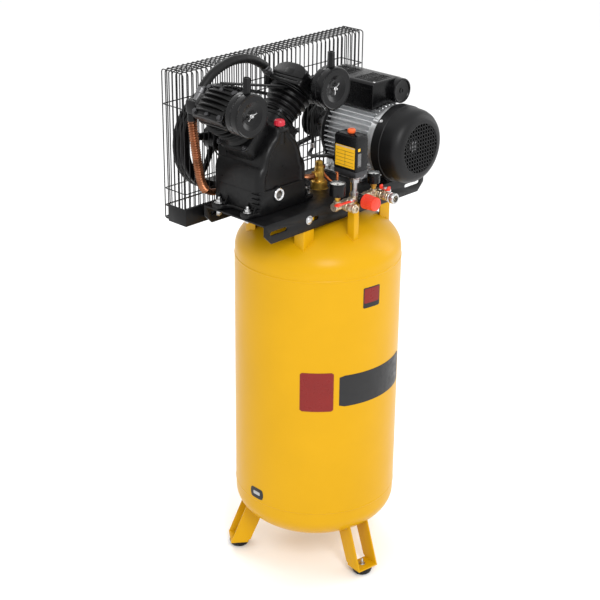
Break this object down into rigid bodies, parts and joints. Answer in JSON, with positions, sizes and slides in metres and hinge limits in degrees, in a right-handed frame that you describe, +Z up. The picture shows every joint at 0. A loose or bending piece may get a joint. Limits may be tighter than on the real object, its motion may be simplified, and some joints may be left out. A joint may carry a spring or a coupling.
{
  "type": "vertical tank air compressor",
  "caption": "Belt-driven V-twin piston air compressor on an upright tank with splayed feet, with pump, motor, wire belt guard, pressure switch, regulator, gauges and outlet valves.",
  "frame": {"origin": "the tank's axis at the floor, under the middle of the three feet", "axes": "+Z up along the tank's axis, +X along the deck from the pump to the motor, +Y from the manifold side to the belt guard"},
  "size_m": [0.6489, 0.431, 1.307],
  "materials": {
    "yellow_paint": "satin yellow powder coat",
    "black_paint": "satin black powder coat on folded sheet",
    "black_casting": "black painted casting with a fine grain",
    "black_plastic": "fine moulded texture",
    "aluminium": "cast or machined, bare",
    "steel": "turned",
    "chrome": "bright plated",
    "brass": "machined",
    "copper": "drawn copper tube",
    "rubber": "moulded",
    "red_plastic": "moulded red",
    "dark_mesh": "dark coated wire cage"
  },
  "bodies": {
    "tank": {"air_filter_left": "black_plastic", "air_filter_right": "black_plastic", "belt_guard": "dark_mesh", "check_valve": "brass", "crankcase": "black_casting", "cylinder_head_left": "black_casting", "cylinder_head_right": "black_casting", "cylinder_left": "black_casting", "cylinder_right": "black_casting", "deck_bracket_back_left": "yellow_paint", "deck_bracket_back_right": "yellow_paint", "deck_bracket_front_left": "yellow_paint", "deck_bracket_front_right": "yellow_paint", "deck_plate": "black_paint", "discharge_tube": "copper", "drain_valve": "brass", "drive_belt": "rubber", "fan_cover": "black_plastic", "foot_pad_front": "rubber", "foot_pad_left": "rubber", "foot_pad_right": "rubber", "guard_bracket": "black_paint", "intercooler_hose": "rubber", "leg_front": "yellow_paint", "leg_left": "yellow_paint", "leg_right": "yellow_paint", "line_gauge": "black_plastic", "manifold": "brass", "motor_housing": "aluminium", "oil_filler_cap": "red_plastic", "outlet_valve_left": "brass", "outlet_valve_right": "brass", "pressure_switch_base": "black_casting", "pressure_switch_cover": "black_plastic", "safety_valve": "brass", "sight_glass": "chrome", "tank_barrel": "yellow_paint", "tank_bottom_head": "yellow_paint", "tank_gauge": "black_plastic", "tank_top_head": "yellow_paint", "terminal_box": "black_plastic", "unloader_tube": "copper"},
    "crank": {"crankshaft": "steel", "flywheel": "black_casting"},
    "rotor": {"motor_rotor": "steel", "motor_pulley": "black_casting", "cooling_fan": "black_plastic"},
    "piston_left": {"piston_left": "aluminium"},
    "rod_left": {"connecting_rod_left": "aluminium"},
    "piston_right": {"piston_right": "aluminium"},
    "rod_right": {"connecting_rod_right": "aluminium"},
    "regulator_knob": {"regulator_knob": "red_plastic"},
    "lever_left": {"outlet_lever_left": "red_plastic"},
    "lever_right": {"outlet_lever_right": "red_plastic"},
    "drain_handle": {"drain_handle": "brass"},
    "switch_knob": {"switch_knob": "red_plastic"},
    "safety_pull": {"safety_valve_pull": "chrome"},
    "coupler_sleeve": {"coupler_sleeve": "chrome"},
    "tank_needle": {"tank_gauge_needle": "rubber"},
    "line_needle": {"line_gauge_needle": "rubber"}
  },
  "joints": [
    {"name": "crank_spin", "type": "hinge", "parent": "tank", "child": "crank", "pos_m": [-0.17, 0.168, 1.088], "axis": [0, 1, 0], "continuous": true},
    {"name": "rotor_spin", "type": "hinge", "parent": "tank", "child": "rotor", "pos_m": [0.1675, 0.168, 1.0605], "axis": [0, 1, 0], "continuous": true},
    {"name": "piston_left_slide", "type": "slide", "parent": "tank", "child": "piston_left", "axis": [-0.7071, 0, 0.7071], "range_m": [-0.038, 0]},
    {"name": "rod_left_swing", "type": "hinge", "parent": "piston_left", "child": "rod_left", "pos_m": [-0.26192, 0.0235, 1.17992], "axis": [0, 1, 0], "range_deg": [-9.86, 9.86]},
    {"name": "piston_right_slide", "type": "slide", "parent": "tank", "child": "piston_right", "axis": [0.7071, 0, 0.7071], "range_m": [-0.0174, 0.0206]},
    {"name": "rod_right_swing", "type": "hinge", "parent": "piston_right", "child": "rod_right", "pos_m": [-0.09267, 0.0355, 1.16533], "axis": [0, 1, 0], "range_deg": [-19.71, 0]},
    {"name": "regulator_turn", "type": "hinge", "parent": "tank", "child": "regulator_knob", "pos_m": [-0.016, -0.168, 0.975], "axis": [0, -1, 0], "range_deg": [-540, 540]},
    {"name": "lever_left_turn", "type": "hinge", "parent": "tank", "child": "lever_left", "pos_m": [-0.072, -0.166, 0.9898], "axis": [0, 0, 1], "range_deg": [0, 90]},
    {"name": "lever_right_turn", "type": "hinge", "parent": "tank", "child": "lever_right", "pos_m": [0.044, -0.166, 0.9898], "axis": [0, 0, 1], "range_deg": [0, 90]},
    {"name": "drain_turn", "type": "hinge", "parent": "tank", "child": "drain_handle", "pos_m": [0, 0, 0.028], "axis": [0, 0, 1], "range_deg": [0, 720]},
    {"name": "switch_pull", "type": "slide", "parent": "tank", "child": "switch_knob", "axis": [0, 0, 1], "range_m": [0, 0.008]},
    {"name": "safety_pull_slide", "type": "slide", "parent": "tank", "child": "safety_pull", "axis": [0, 0, 1], "range_m": [0, 0.004], "stiffness_N_per_m": 600},
    {"name": "coupler_release", "type": "slide", "parent": "tank", "child": "coupler_sleeve", "axis": [0, 1, 0], "range_m": [0, 0.003], "stiffness_N_per_m": 800},
    {"name": "tank_needle_turn", "type": "hinge", "parent": "tank", "child": "tank_needle", "pos_m": [-0.087, -0.138, 1.031], "axis": [0, 0, -1], "range_deg": [0, 270], "stiffness_Nm_per_rad": 0.001},
    {"name": "line_needle_turn", "type": "hinge", "parent": "tank", "child": "line_needle", "pos_m": [0.036, -0.138, 1.027], "axis": [0, 0, -1], "range_deg": [0, 270], "stiffness_Nm_per_rad": 0.001}
  ],
  "couplings": [
    {"joint": "rotor_spin", "follows": "crank_spin", "ratio": 2.8824}
  ]
}
